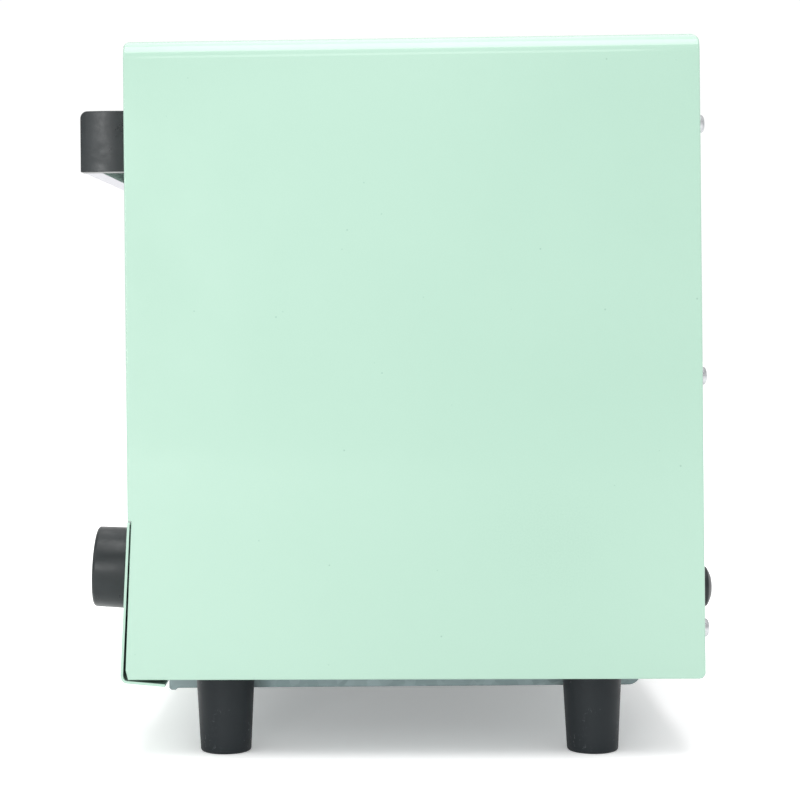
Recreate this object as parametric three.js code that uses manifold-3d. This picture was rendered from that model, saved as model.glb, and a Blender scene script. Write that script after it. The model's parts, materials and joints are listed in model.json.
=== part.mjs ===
// Small countertop oven with a drop-down door, as used for reflow soldering on a workbench.
// Millimetres. +Z is up, the door faces -Y, and +X is on the right of a person facing the door.
// Inside the "oven" group y is the depth behind the housing's front edge and z puts the base's
// underside at BOTTOM; the group itself centres the whole object and stands its feet on z = 0.

import * as THREE from 'three';
import { mergeVertices } from 'three/addons/utils/BufferGeometryUtils.js';
import Module from 'manifold-3d';

const wasm = await Module();
wasm.setup();

// ---------------------------------------------------------------- driving dimensions

const WIDTH = 300;
const DEPTH = 230;
const BODY_HEIGHT = 257;
const FOOT_HEIGHT = 33.4;

const GAP = 0.3;                 // clearance left between two pieces that touch
const SHEET = 0.8;               // steel sheet of the wrapper, liner and small brackets
const STOUT = 1.0;               // heavier sheet of the panel, base and door
const OVERSHOOT = 1;             // how far a cutting tool runs past the faces it cuts

const HALF = WIDTH / 2;
const INSIDE = HALF - SHEET;     // inner face of the wrapper's sides
const BOTTOM = 32;
const TOP = BOTTOM + BODY_HEIGHT;
const SOLE = BOTTOM - FOOT_HEIGHT;
const BEND_RADIUS = 8;           // long top edges of the wrapper
const BACK_RADIUS = 3.5;         // upper rear corner of the wrapper, seen from the side
const HEEL_RADIUS = 1.4;         // lower rear corner
const FRONT_RADIUS = 2.4;        // upper front corner
const BACK_FLANGE = 12;          // inward flange that the rear panel is screwed to
const BASE_FLANGE = 12;          // upturned edges of the base pan
const BASE_FRONT = 4;
const BASE_FLANGE_FRONT = 20;

const PANEL_TOP = 95.4;
const PANEL_SLANT_END = 34;      // height where the slanted face meets the lower bend
const PANEL_LEAN = 3.35;         // how far the lower end of the face stands forward
const PANEL_RETURN = 14.5;       // how far the lower flange runs back under the sides
const PANEL_DROP = 1.4;          // how far that flange slopes down to its rear edge
const PANEL_FLANGE = 15.3;       // depth of the upper flange, just under the door surround
const SEAM_TOP = 0.5;            // open seam between the panel and the wrapper's front edge
const SEAM_FOOT = 0.9;
const CHAMFER_TOP = 36;          // corner cut off the wrapper's side above the panel's lower bend
const PANEL_TILT = Math.atan(PANEL_LEAN / (PANEL_TOP - PANEL_SLANT_END));

const KNOB_RADIUS = 17;
const KNOB_X = 108;
const KNOB_Z = 72;
const KNOB_STANDOFF = 2.5;
const KNOB_DEPTH = 14.5;
const SHAFT_RADIUS = 3;

const FRAME_Y = 14.5;            // front face of the door surround
const LINER_HALF = 134;
const LINER_BACK = 212;
const LINER_TOP = 272;
const SILL = 112;                // lower edge of the oven's mouth
const SHIELD_TOP = 98.8;
const SHIELD_BACK = 75.8;

const DOOR_HALF = 146.5;
const DOOR_BOTTOM = 99;
const DOOR_TOP = 284.5;
const DOOR_FACE = 0.5;
const DOOR_BACK = 11.5;
const WINDOW_HALF = 122;
const WINDOW_BOTTOM = 120;
const WINDOW_TOP = 229;
const HINGE_Y = 6.5;
const HINGE_Z = 103.5;
const PIN_RADIUS = 2;
const PIN_HEAD = { radius: 2.6, start: 142.5, end: 145.2 };
const PIN_END = 148.7;

const HANDLE_REACH = 22.7;
const HANDLE_BOTTOM = 238.5;
const HANDLE_TOP = 264;
const HANDLE_HALF = 115;
const HANDLE_POST = 10;          // thickness of the black end posts
const HANDLE_BULGE = 1.2;        // how far a post's outer face swells
const HANDLE_CORNER = 3;         // upper front corner of a post
const HANDLE_SEAM = HANDLE_HALF - HANDLE_POST;
const HANDLE_SHEET = 1.2;
const HANDLE_FLANGE = 7.5;       // depth of the bar's channel
const HANDLE_TONGUE = 14;        // how far a post reaches into the bar
const HANDLE_SCREW_X = 110;
const HANDLE_SCREW_Z = 252;
const HANDLE_SCREW_BORE = 2.3;

const HEATER_RADIUS = 4;
const HEATER_CAP = 5.2;          // radius of the ceramic ends
const HEATER_HALF = 145;
const HEATER_LEAD = 5.6;         // how far below or above a tube's middle its lead stops
const HEATER_DEPTHS = { front: 62, rear: 160 };
const HEATER_HEIGHTS = { upper: 258, lower: 122 };

const RAIL_BOTTOM = 170.7;
const RAIL_HEIGHT = 7.5;
const RAIL_LEDGE = 8;
const RACK_FRONT = 22;
const RACK_BACK = 202;
const RACK_HALF = 129.2;
const RACK_Z = 173.6;
const RACK_ROD = 1.8;
const RACK_WIRE = 1.2;
const RACK_WIRES = 9;

const TRAY_HALF = 113;
const TRAY_FRONT = 35;
const TRAY_BACK = 187;
const TRAY_DEPTH = 14;
const TRAY_RIM = 5;
const TRAY_CORNER = 10;

const CRUMB_FRONT = 11.4;
const CRUMB_BACK = 209.5;
const CRUMB_HALF = 103.8;
const CRUMB_FLOOR = 21.7;        // underside of the floor at its back
const CRUMB_FALL = 1;            // how far the floor falls towards the front
const CRUMB_BEAD = { width: 3.6, drop: 0.8 };
const CRUMB_RIM = 28.4;
const CRUMB_CURVE = 5;
const CRUMB_RUNNER = 108.2;
const CRUMB_CHUTE = { half: 95, front: 82, back: 203 };
const GUIDE_WEB = 109.8;
const GUIDE_LEDGE = 104.6;
const GUIDE_FLANGE = 100.5;
const GUIDE_BOTTOM = 26.4;

const FOOT_X = 123;
const FOOT_DEPTHS = { front: 36.8, rear: 187.4 };
const FOOT_TOP_RADIUS = 12.1;
const FOOT_SOLE_RADIUS = 10.4;
const FOOT_BORE = 4.8;           // counterbore for the screw's head
const FOOT_SEAT = 22;            // height that the head bears on

const VENT = { rows: 7, pitch: 9, bottom: 190, column: 46, halfLength: 17, halfHeight: 1.5 };

const REAR_SCREW_X = 140;
const REAR_SCREW_BORE = 2.2;     // hole in the rear panel
const REAR_SCREW_HEIGHTS = { upper: 253, middle: 152, lower: 51 };

const GLAND_X = 105;
const GLAND_Z = 63;
const GLAND_REACH = 9.5;
const GLAND_RADIUS = 8.3;
const GLAND_NUT = 8;
const GLAND_NECK = 5.8;
const GLAND_INNER_END = 221.5;
const GLAND_BORE = 3.75;

const TERMINALS = { near: 56, far: 88, front: 216, bottom: 53, top: 71 };
const THERMOSTAT = { half: 16, depth: 23 };
const TIMER = { radius: 20, depth: 24, bossRadius: 9, bossDepth: 29 };

const SIDE_PASSAGE = 141;        // middle of the space between liner and wrapper
const LEAD_HOLE = { y: 46, z: 66, radius: 4 };

const SIDES = { left: -1, right: 1 };

// ---------------------------------------------------------------- solids

// Merged vertices, no collapsed triangles, faces pointing out.
function closed(geometry) {
  const bare = geometry.clone();
  bare.deleteAttribute('normal');
  bare.deleteAttribute('uv');
  const merged = mergeVertices(bare, 1e-4);
  const corner = [new THREE.Vector3(), new THREE.Vector3(), new THREE.Vector3()];
  const kept = [];
  let volume = 0;
  for (let i = 0; i < merged.index.count; i += 3) {
    const face = [0, 1, 2].map((k) => merged.index.getX(i + k));
    if (new Set(face).size < 3) continue;
    face.forEach((v, k) => corner[k].fromBufferAttribute(merged.attributes.position, v));
    volume += corner[0].dot(corner[1].clone().cross(corner[2]));
    kept.push(face);
  }
  const order = volume < 0 ? [0, 2, 1] : [0, 1, 2];
  merged.setIndex(kept.flatMap((face) => order.map((k) => face[k])));
  return merged;
}

function toSolid(geometry) {
  const merged = closed(geometry);
  return new wasm.Manifold(new wasm.Mesh({
    numProp: 3,
    vertProperties: new Float32Array(merged.attributes.position.array),
    triVerts: new Uint32Array(merged.index.array),
  }));
}

function toGeometry(solid) {
  const mesh = solid.getMesh();
  const geometry = new THREE.BufferGeometry();
  geometry.setAttribute('position', new THREE.BufferAttribute(new Float32Array(mesh.vertProperties), 3));
  geometry.setIndex(new THREE.BufferAttribute(new Uint32Array(mesh.triVerts), 1));
  return geometry;
}

const join = (...shapes) => toGeometry(shapes.map(toSolid).reduce((sum, next) => sum.add(next)));
const common = (first, second) => toGeometry(toSolid(first).intersect(toSolid(second)));

function cut(base, ...tools) {
  const result = tools.map(toSolid).reduce((rest, tool) => rest.subtract(tool), toSolid(base));
  return toGeometry(result);
}

function block(x0, x1, y0, y1, z0, z1) {
  const box = new THREE.BoxGeometry(x1 - x0, y1 - y0, z1 - z0);
  return box.translate((x0 + x1) / 2, (y0 + y1) / 2, (z0 + z1) / 2);
}

const AXES = { x: new THREE.Vector3(1, 0, 0), y: new THREE.Vector3(0, 1, 0), z: new THREE.Vector3(0, 0, 1) };

function extrude(shape, depth, curveSegments = 6) {
  return new THREE.ExtrudeGeometry(shape, { depth, bevelEnabled: false, curveSegments });
}

// A shape drawn in depth (y) and height (z), run along X.
function alongX(shape, x0, x1, curveSegments) {
  const basis = new THREE.Matrix4().makeBasis(AXES.y, AXES.z, AXES.x);
  return extrude(shape, x1 - x0, curveSegments).applyMatrix4(basis).translate(x0, 0, 0);
}

// A shape drawn in x and height (z), run along Y.
function alongY(shape, y0, y1, curveSegments) {
  const basis = new THREE.Matrix4().makeBasis(AXES.x, AXES.z, AXES.y.clone().negate());
  return extrude(shape, y1 - y0, curveSegments).applyMatrix4(basis).translate(0, y1, 0);
}

// A shape drawn in x and y, run along Z.
function alongZ(shape, z0, z1, curveSegments) {
  return extrude(shape, z1 - z0, curveSegments).translate(0, 0, z0);
}

function roundedRect(a0, a1, b0, b1, radius) {
  const shape = new THREE.Shape();
  shape.moveTo(a0 + radius, b0);
  shape.absarc(a1 - radius, b0 + radius, radius, -Math.PI / 2, 0, false);
  shape.absarc(a1 - radius, b1 - radius, radius, 0, Math.PI / 2, false);
  shape.absarc(a0 + radius, b1 - radius, radius, Math.PI / 2, Math.PI, false);
  shape.absarc(a0 + radius, b0 + radius, radius, Math.PI, Math.PI * 1.5, false);
  return shape;
}

// The section of a bent sheet: a line of points and its copy set off to the left by the thickness.
function bentSheet(line, thickness) {
  const points = line.map(([a, b]) => new THREE.Vector2(a, b));
  const normals = points.slice(1).map((point, i) => {
    const run = point.clone().sub(points[i]).normalize();
    return new THREE.Vector2(-run.y, run.x);
  });
  const offset = points.map((point, i) => {
    const before = normals[Math.max(i - 1, 0)];
    const after = normals[Math.min(i, normals.length - 1)];
    const mitre = before.clone().add(after).multiplyScalar(thickness / (1 + before.dot(after)));
    return point.clone().add(mitre);
  });
  return new THREE.Shape([...points, ...offset.reverse()]);
}

// A turned piece. The profile is a list of [radius, position along the axis].
function turned(profile, axis, segments = 24) {
  const lathe = new THREE.LatheGeometry(profile.map(([r, t]) => new THREE.Vector2(r, t)), segments);
  if (axis === 'z') lathe.rotateX(Math.PI / 2);
  if (axis === 'x') lathe.rotateZ(-Math.PI / 2);
  return lathe;
}

function rod(radius, axis, from, to, segments = 16) {
  return turned([[0, from], [radius, from], [radius, to], [0, to]], axis, segments);
}

const mirrored = (line, side) => line.map(([a, b]) => [a * side, b]);

// ---------------------------------------------------------------- materials

const finish = (color, roughness, metalness) => () => (
  new THREE.MeshStandardMaterial({ color, roughness, metalness })
);

const steelPaint = finish(0xc6efdb, 0.42, 0.1);
const galvanised = finish(0xa5b0b9, 0.45, 0.9);
const satinSteel = finish(0xd5d4dc, 0.3, 1);
const zincScrew = finish(0xb9bcc0, 0.35, 1);
const blackPlastic = finish(0x373e3f, 0.5, 0);
const footRubber = finish(0x393e41, 0.6, 0);
const smokedGlass = finish(0x2e3432, 0.05, 0);
const heaterTube = finish(0xd9d6cf, 0.35, 0);
const trayEnamel = finish(0x26282a, 0.35, 0);
const chromeWire = finish(0xcfd3d6, 0.15, 1);
const palePlastic = finish(0xe4e1d6, 0.5, 0);
const amberLens = finish(0xd9541e, 0.15, 0);
const leadSleeve = finish(0xd8d2c4, 0.7, 0);

// ---------------------------------------------------------------- housing

// Depth of the control panel's slanted outer face at a height.
function panelFace(z) {
  return -PANEL_LEAN * (PANEL_TOP - z) / (PANEL_TOP - PANEL_SLANT_END);
}

// A rectangle standing on its lower edge, with both upper corners rounded.
function archOutline(half, bottom, top, radius) {
  const shape = new THREE.Shape();
  shape.moveTo(-half, bottom);
  shape.lineTo(-half, top - radius);
  shape.absarc(-half + radius, top - radius, radius, Math.PI, Math.PI / 2, true);
  shape.absarc(half - radius, top - radius, radius, Math.PI / 2, 0, true);
  shape.lineTo(half, bottom);
  return shape;
}

// The wrapper's outline from the side, with its lower front edge set back behind the panel.
function wrapperSilhouette() {
  const shape = new THREE.Shape();
  shape.moveTo(-0.4, BOTTOM);
  shape.lineTo(DEPTH - HEEL_RADIUS, BOTTOM);
  shape.absarc(DEPTH - HEEL_RADIUS, BOTTOM + HEEL_RADIUS, HEEL_RADIUS, -Math.PI / 2, 0, false);
  shape.absarc(DEPTH - BACK_RADIUS, TOP - BACK_RADIUS, BACK_RADIUS, 0, Math.PI / 2, false);
  shape.absarc(FRONT_RADIUS, TOP - FRONT_RADIUS, FRONT_RADIUS, Math.PI / 2, Math.PI, false);
  shape.lineTo(0, PANEL_TOP + GAP);
  shape.lineTo(STOUT + SEAM_TOP, PANEL_TOP + GAP);
  shape.lineTo(panelFace(CHAMFER_TOP) + STOUT + SEAM_FOOT, CHAMFER_TOP);
  return shape;
}

function outerWrapper() {
  const inner = archOutline(INSIDE, BOTTOM - OVERSHOOT, TOP - SHEET, BEND_RADIUS - SHEET);
  const shell = cut(
    alongY(archOutline(HALF, BOTTOM, TOP, BEND_RADIUS), -PANEL_LEAN, DEPTH, 7),
    alongY(inner, -PANEL_LEAN - OVERSHOOT, DEPTH + OVERSHOOT, 7),
  );
  const flangeBack = DEPTH - SHEET - GAP;
  const flangeBottom = BOTTOM + STOUT + GAP;
  const buried = SHEET / 2;
  const flangeOutline = roundedRect(
    -HALF + buried, HALF - buried, flangeBottom, TOP - buried, BEND_RADIUS - buried,
  );
  const ring = cut(
    alongY(flangeOutline, flangeBack - SHEET, flangeBack, 7),
    block(-INSIDE + BACK_FLANGE, INSIDE - BACK_FLANGE, 0, DEPTH, 0, TOP - SHEET - BACK_FLANGE),
  );
  const screwHoles = rearScrewPlaces().map(({ x, z }) => (
    rod(2, 'y', flangeBack - SHEET - OVERSHOOT, DEPTH + OVERSHOOT, 12).translate(x, 0, z)
  ));
  const side = alongX(wrapperSilhouette(), -HALF - OVERSHOOT, HALF + OVERSHOOT, 5);
  return cut(common(join(shell, ring), side), ...screwHoles);
}

function basePan() {
  const outer = INSIDE - GAP;
  const flangeTop = BOTTOM + BASE_FLANGE;
  const backFlange = DEPTH - SHEET - GAP;
  const backHalf = INSIDE - BACK_FLANGE - GAP;
  const floor = block(-outer, outer, BASE_FRONT, backFlange, BOTTOM, BOTTOM + STOUT);
  const crumbHole = block(
    -CRUMB_CHUTE.half, CRUMB_CHUTE.half, CRUMB_CHUTE.front, CRUMB_CHUTE.back,
    BOTTOM - OVERSHOOT, BOTTOM + STOUT + OVERSHOOT,
  );
  const flanges = Object.values(SIDES).map((side) => {
    const [near, far] = side > 0 ? [outer - STOUT, outer] : [-outer, -outer + STOUT];
    return block(near, far, BASE_FLANGE_FRONT, backFlange - SHEET - GAP, BOTTOM, flangeTop);
  });
  const back = block(-backHalf, backHalf, backFlange - SHEET, backFlange, BOTTOM, flangeTop);
  const screwHoles = footPlaces().map(({ x, y }) => (
    rod(2.5, 'z', BOTTOM - OVERSHOOT, BOTTOM + STOUT + OVERSHOOT, 12).translate(x, y, 0)
  ));
  return cut(join(floor, ...flanges, back), crumbHole, ...screwHoles);
}

function rearPanel() {
  const half = INSIDE - GAP;
  const front = DEPTH - SHEET;
  const inset = BACK_RADIUS + GAP;
  const plate = alongY(roundedRect(-half, half, BOTTOM + inset, TOP - inset, 5), front, DEPTH, 4);
  const slots = [];
  for (let row = 0; row < VENT.rows; row += 1) {
    for (const column of [-1, 0, 1]) {
      const x = column * VENT.column;
      const z = VENT.bottom + row * VENT.pitch;
      slots.push(block(
        x - VENT.halfLength, x + VENT.halfLength, front - OVERSHOOT, DEPTH + OVERSHOOT,
        z - VENT.halfHeight, z + VENT.halfHeight,
      ));
    }
  }
  const gland = rod(GLAND_NECK + GAP, 'y', front - OVERSHOOT, DEPTH + OVERSHOOT, 20)
    .translate(GLAND_X, 0, GLAND_Z);
  const screws = rearScrewPlaces().map(({ x, z }) => (
    rod(REAR_SCREW_BORE, 'y', front - OVERSHOOT, DEPTH + OVERSHOOT, 12).translate(x, 0, z)
  ));
  return cut(plate, gland, ...slots, ...screws);
}

function frontFrame() {
  const half = INSIDE - GAP;
  const top = TOP - SHEET - GAP;
  const arch = archOutline(half, PANEL_TOP + GAP, top, BEND_RADIUS - SHEET);
  const plate = alongY(arch, FRAME_Y, FRAME_Y + SHEET, 5);
  const mouth = roundedRect(-LINER_HALF, LINER_HALF, SILL, LINER_TOP, 3);
  return cut(plate, alongY(mouth, FRAME_Y - OVERSHOOT, FRAME_Y + SHEET + OVERSHOOT, 3));
}

function controlPanel() {
  const lower = BOTTOM - GAP - STOUT;
  const line = [
    [PANEL_FLANGE, PANEL_TOP],
    [0, PANEL_TOP],
    [-PANEL_LEAN, PANEL_SLANT_END],
    [-PANEL_LEAN + 0.35, lower + 1.5],
    [-PANEL_LEAN + 1.4, lower + 0.3],
    [-PANEL_LEAN + 2.6, lower],
    [PANEL_RETURN, lower - PANEL_DROP],
  ];
  const sheet = alongX(bentSheet(line, STOUT), -HALF, HALF);
  const ears = Object.values(SIDES).map((side) => (
    block(-2, 2, STOUT, PANEL_FLANGE + OVERSHOOT, PANEL_TOP - 2 * STOUT, PANEL_TOP + OVERSHOOT)
      .translate(side * (INSIDE - GAP + 2), 0, 0)
  ));
  const holes = [[-KNOB_X, 4.5], [KNOB_X, 4.5], [0, 4.3]].map(([x, radius]) => (
    rod(radius, 'y', -6, 6, 20).rotateX(-PANEL_TILT).translate(x, panelFace(KNOB_Z), KNOB_Z)
  ));
  return cut(sheet, ...ears, ...holes);
}

function linerSide(side) {
  const x0 = side > 0 ? LINER_HALF : -LINER_HALF - SHEET;
  const front = FRAME_Y + SHEET + GAP;
  const plate = block(x0, x0 + SHEET, front, LINER_BACK - GAP, BOTTOM + STOUT + GAP, LINER_TOP - GAP);
  const holes = heaterPlaces().map(({ y, z }) => (
    rod(HEATER_RADIUS + 0.5, 'x', x0 - OVERSHOOT, x0 + SHEET + OVERSHOOT, 12).translate(0, y, z)
  ));
  const leadHole = rod(LEAD_HOLE.radius, 'x', x0 - OVERSHOOT, x0 + SHEET + OVERSHOOT, 12)
    .translate(0, LEAD_HOLE.y, LEAD_HOLE.z);
  return cut(plate, leadHole, ...holes);
}

function linerRoof() {
  const half = LINER_HALF + SHEET;
  const front = FRAME_Y + SHEET + GAP;
  return block(-half, half, front, LINER_BACK - GAP, LINER_TOP, LINER_TOP + SHEET);
}

function linerBack() {
  const half = LINER_HALF + SHEET;
  return block(-half, half, LINER_BACK, LINER_BACK + SHEET, BOTTOM + STOUT + GAP, LINER_TOP + SHEET);
}

// Floor over the control compartment and the wall behind it; crumbs drop behind the wall.
function heatShield() {
  const half = LINER_HALF - GAP;
  const line = [
    [SHIELD_BACK, BOTTOM + STOUT + GAP],
    [SHIELD_BACK, SHIELD_TOP],
    [FRAME_Y + SHEET + GAP, SHIELD_TOP],
  ];
  return alongX(bentSheet(line, SHEET), -half, half);
}

function rackRail(side) {
  const web = LINER_HALF - GAP;
  const ledge = web - RAIL_LEDGE;
  const top = RAIL_BOTTOM + RAIL_HEIGHT;
  const line = [[ledge, RAIL_BOTTOM], [web, RAIL_BOTTOM], [web, top], [ledge, top]];
  const section = bentSheet(mirrored(line, side), side * SHEET);
  return alongY(section, RACK_FRONT - 2, RACK_BACK + 3);
}

function trayGuide(side) {
  const top = BOTTOM - GAP;
  const line = [
    [GUIDE_LEDGE, GUIDE_BOTTOM], [GUIDE_WEB, GUIDE_BOTTOM], [GUIDE_WEB, top], [GUIDE_FLANGE, top],
  ];
  const section = bentSheet(mirrored(line, side), side * SHEET);
  return alongY(section, PANEL_RETURN + GAP, CRUMB_BACK - 1.5);
}

// ---------------------------------------------------------------- feet and fasteners

function footPlaces() {
  return Object.entries(FOOT_DEPTHS).flatMap(([row, y]) => (
    Object.entries(SIDES).map(([sideName, side]) => ({ name: `${row}_${sideName}`, x: side * FOOT_X, y }))
  ));
}

function rearScrewPlaces() {
  return Object.entries(REAR_SCREW_HEIGHTS).flatMap(([row, z]) => (
    Object.entries(SIDES).map(([sideName, side]) => (
      { name: `${row}_${sideName}`, x: side * REAR_SCREW_X, z }
    ))
  ));
}

function heaterPlaces() {
  return Object.entries(HEATER_HEIGHTS).flatMap(([level, z]) => (
    Object.entries(HEATER_DEPTHS).map(([row, y]) => ({ name: `${level}_${row}`, y, z }))
  ));
}

// Tapered foot with a counterbored hole for its screw.
function foot() {
  const top = BOTTOM - GAP;
  return turned([
    [FOOT_BORE, SOLE], [FOOT_SOLE_RADIUS - 1.2, SOLE], [FOOT_SOLE_RADIUS - 0.35, SOLE + 0.35],
    [FOOT_SOLE_RADIUS, SOLE + 1.2], [FOOT_TOP_RADIUS, top], [2.4, top], [2.4, FOOT_SEAT],
    [FOOT_BORE, FOOT_SEAT], [FOOT_BORE, SOLE],
  ], 'z', 20);
}

function footScrew() {
  const bearing = FOOT_SEAT - GAP;
  const head = bearing - 2.8;
  const tip = BOTTOM + 7;
  return turned([
    [0, head], [2.9, head], [4.2, head + 1], [4.2, bearing], [2, bearing], [2, tip], [0, tip],
  ], 'z', 12);
}

// Pan-head screw, driven in along -Y; y = 0 is the face it bears on.
function rearScrew() {
  return turned([
    [0, -10], [1.7, -10], [1.7, GAP], [3.75, GAP], [3.75, 1.6], [3.2, 2.4], [2.2, 2.8], [0, 2.8],
  ], 'y', 14);
}

function cordGland() {
  const inner = DEPTH - SHEET - GAP;
  const outer = DEPTH + GAP;
  const end = DEPTH + GLAND_REACH;
  return turned([
    [GLAND_BORE, GLAND_INNER_END], [GLAND_NUT, GLAND_INNER_END], [GLAND_NUT, inner], [GLAND_NECK, inner],
    [GLAND_NECK, outer], [GLAND_RADIUS, outer], [GLAND_RADIUS, end - 3], [GLAND_RADIUS - 0.4, end - 1.6],
    [GLAND_RADIUS - 1.5, end - 0.5], [GLAND_RADIUS - 3.2, end], [GLAND_BORE, end],
    [GLAND_BORE, GLAND_INNER_END],
  ], 'y', 24);
}

// ---------------------------------------------------------------- heating and controls

// A heater tube with a ceramic end outside each side of the liner.
function heater() {
  const capStart = LINER_HALF + SHEET + GAP;
  return turned([
    [0, -HEATER_HALF], [HEATER_CAP, -HEATER_HALF], [HEATER_CAP, -capStart], [HEATER_RADIUS, -capStart],
    [HEATER_RADIUS, capStart], [HEATER_CAP, capStart], [HEATER_CAP, HEATER_HALF], [0, HEATER_HALF],
  ], 'x', 12);
}

function thermostat() {
  const { half, depth } = THERMOSTAT;
  const body = block(-half, half, STOUT + GAP, depth, -half, half);
  return cut(body, rod(SHAFT_RADIUS + GAP, 'y', 0, 16, 12));
}

function timer() {
  const { radius, depth, bossRadius, bossDepth } = TIMER;
  const body = turned([
    [0, STOUT + GAP], [radius, STOUT + GAP], [radius, depth], [bossRadius, depth], [bossRadius, bossDepth],
    [0, bossDepth],
  ], 'y', 20);
  return cut(body, rod(SHAFT_RADIUS + GAP, 'y', 0, 16, 12));
}

function controlShaft() {
  return rod(SHAFT_RADIUS, 'y', -KNOB_STANDOFF - 9, 15, 12);
}

// Round knob with a pointer groove across its face.
function knob() {
  const rear = -KNOB_STANDOFF;
  const front = rear - KNOB_DEPTH;
  const body = turned([
    [0, rear - 9.5], [SHAFT_RADIUS + GAP, rear - 9.5], [SHAFT_RADIUS + GAP, rear], [KNOB_RADIUS - 0.4, rear],
    [KNOB_RADIUS, rear - 0.5], [KNOB_RADIUS, front + 1.8], [KNOB_RADIUS - 0.5, front + 0.6],
    [KNOB_RADIUS - 1.8, front], [0, front],
  ], 'y', 32);
  return cut(body, block(-0.9, 0.9, front - OVERSHOOT, front + 0.8, 5, KNOB_RADIUS + OVERSHOOT));
}

function indicatorLens() {
  const bezel = -GAP;
  return turned([
    [0, bezel - 3], [2.2, bezel - 2.7], [4.2, bezel - 1.4], [5.6, bezel - 1], [5.6, bezel],
    [4, bezel], [4, 16], [0, 16],
  ], 'y', 16);
}

function lead(points, radius = 1.3) {
  const circle = new THREE.Shape().absarc(0, 0, radius, 0, Math.PI * 2);
  const places = points.map((point) => new THREE.Vector3(...point));
  const path = new THREE.CatmullRomCurve3(places, false, 'centripetal');
  const steps = Math.max(4, Math.round(path.getLength() / (radius * 9)));
  return new THREE.ExtrudeGeometry(circle, { steps, curveSegments: 4, extrudePath: path });
}

// ---------------------------------------------------------------- door

function doorFrame() {
  const slab = alongY(roundedRect(-DOOR_HALF, DOOR_HALF, DOOR_BOTTOM, DOOR_TOP, 3), DOOR_FACE, DOOR_BACK, 4);
  const pocket = alongY(
    roundedRect(-DOOR_HALF + STOUT, DOOR_HALF - STOUT, DOOR_BOTTOM + STOUT, DOOR_TOP - STOUT, 2),
    DOOR_FACE + STOUT, DOOR_BACK + OVERSHOOT, 3,
  );
  const window = alongY(windowOutline(0), DOOR_FACE - OVERSHOOT, DOOR_BACK, 6);
  const pinHole = rod(PIN_RADIUS + GAP, 'x', -HALF, HALF, 12).translate(0, HINGE_Y, HINGE_Z);
  const screwHoles = Object.values(SIDES).map((side) => (
    rod(HANDLE_SCREW_BORE, 'y', -1, 3, 12).translate(side * HANDLE_SCREW_X, 0, HANDLE_SCREW_Z)
  ));
  return cut(slab, pocket, window, pinHole, ...screwHoles);
}

function windowOutline(inset) {
  return roundedRect(
    -WINDOW_HALF + inset, WINDOW_HALF - inset, WINDOW_BOTTOM + inset, WINDOW_TOP - inset, 8 - inset,
  );
}

const GLASS_FRONT = DOOR_FACE + STOUT + GAP;
const GLASS_BACK = GLASS_FRONT + 3.2;

function doorGlass() {
  const margin = 6;
  const pane = roundedRect(
    -WINDOW_HALF - margin, WINDOW_HALF + margin, WINDOW_BOTTOM - margin, WINDOW_TOP + margin, 3,
  );
  return alongY(pane, GLASS_FRONT, GLASS_BACK, 3);
}

// Inner door sheet, with a flange around the window that bears on the glass.
function glassRetainer() {
  const back = DOOR_BACK - 0.1;
  const edge = STOUT + GAP;
  const plate = alongY(
    roundedRect(-DOOR_HALF + edge, DOOR_HALF - edge, DOOR_BOTTOM + edge, DOOR_TOP - edge, 1.7),
    back - SHEET, back, 3,
  );
  const collar = alongY(windowOutline(0), GLASS_BACK + GAP, back, 6);
  const opening = alongY(windowOutline(SHEET), GLASS_BACK, back + OVERSHOOT, 6);
  return cut(join(plate, collar), opening);
}

// Black end post: a plate standing off the door, with a slightly swollen outer face and a tongue
// that holds the bar's end.
function handlePost(side) {
  const foot0 = DOOR_FACE - GAP;
  const plan = new THREE.Shape();
  plan.moveTo(HANDLE_SEAM, foot0);
  plan.lineTo(HANDLE_HALF - HANDLE_BULGE, foot0);
  plan.quadraticCurveTo(
    HANDLE_HALF + HANDLE_BULGE, (foot0 - HANDLE_REACH) / 2, HANDLE_HALF - HANDLE_BULGE, -HANDLE_REACH,
  );
  plan.lineTo(HANDLE_SEAM, -HANDLE_REACH);
  const profile = new THREE.Shape();
  profile.moveTo(foot0, HANDLE_BOTTOM);
  profile.lineTo(foot0, HANDLE_TOP);
  profile.lineTo(-HANDLE_REACH + HANDLE_CORNER, HANDLE_TOP);
  profile.absarc(
    -HANDLE_REACH + HANDLE_CORNER, HANDLE_TOP - HANDLE_CORNER, HANDLE_CORNER, Math.PI / 2, Math.PI, false,
  );
  profile.lineTo(-HANDLE_REACH, HANDLE_BOTTOM);
  const body = common(
    alongZ(plan, HANDLE_BOTTOM - OVERSHOOT, HANDLE_TOP + OVERSHOOT, 10),
    alongX(profile, HANDLE_SEAM, HANDLE_HALF + OVERSHOOT, 5),
  );
  const inset = HANDLE_SHEET + 2 * GAP;
  const tongue = block(
    HANDLE_SEAM - HANDLE_TONGUE, HANDLE_SEAM + OVERSHOOT,
    -HANDLE_REACH + inset, -HANDLE_REACH + HANDLE_FLANGE, HANDLE_BOTTOM + inset, HANDLE_TOP - inset,
  );
  const screwHole = rod(HANDLE_SCREW_BORE, 'y', -9, OVERSHOOT, 12)
    .translate(HANDLE_SCREW_X, 0, HANDLE_SCREW_Z);
  const post = cut(join(body, tongue), screwHole);
  return side > 0 ? post : post.scale(-1, 1, 1);
}

// Channel of thin sheet between the posts, open towards the door.
function handleBar() {
  const back = -HANDLE_REACH + HANDLE_FLANGE;
  const low = HANDLE_BOTTOM + GAP;
  const high = HANDLE_TOP - GAP;
  const line = [[back, low], [-HANDLE_REACH, low], [-HANDLE_REACH, high], [back, high]];
  const half = HANDLE_SEAM - GAP;
  return alongX(bentSheet(line, -HANDLE_SHEET), -half, half);
}

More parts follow.
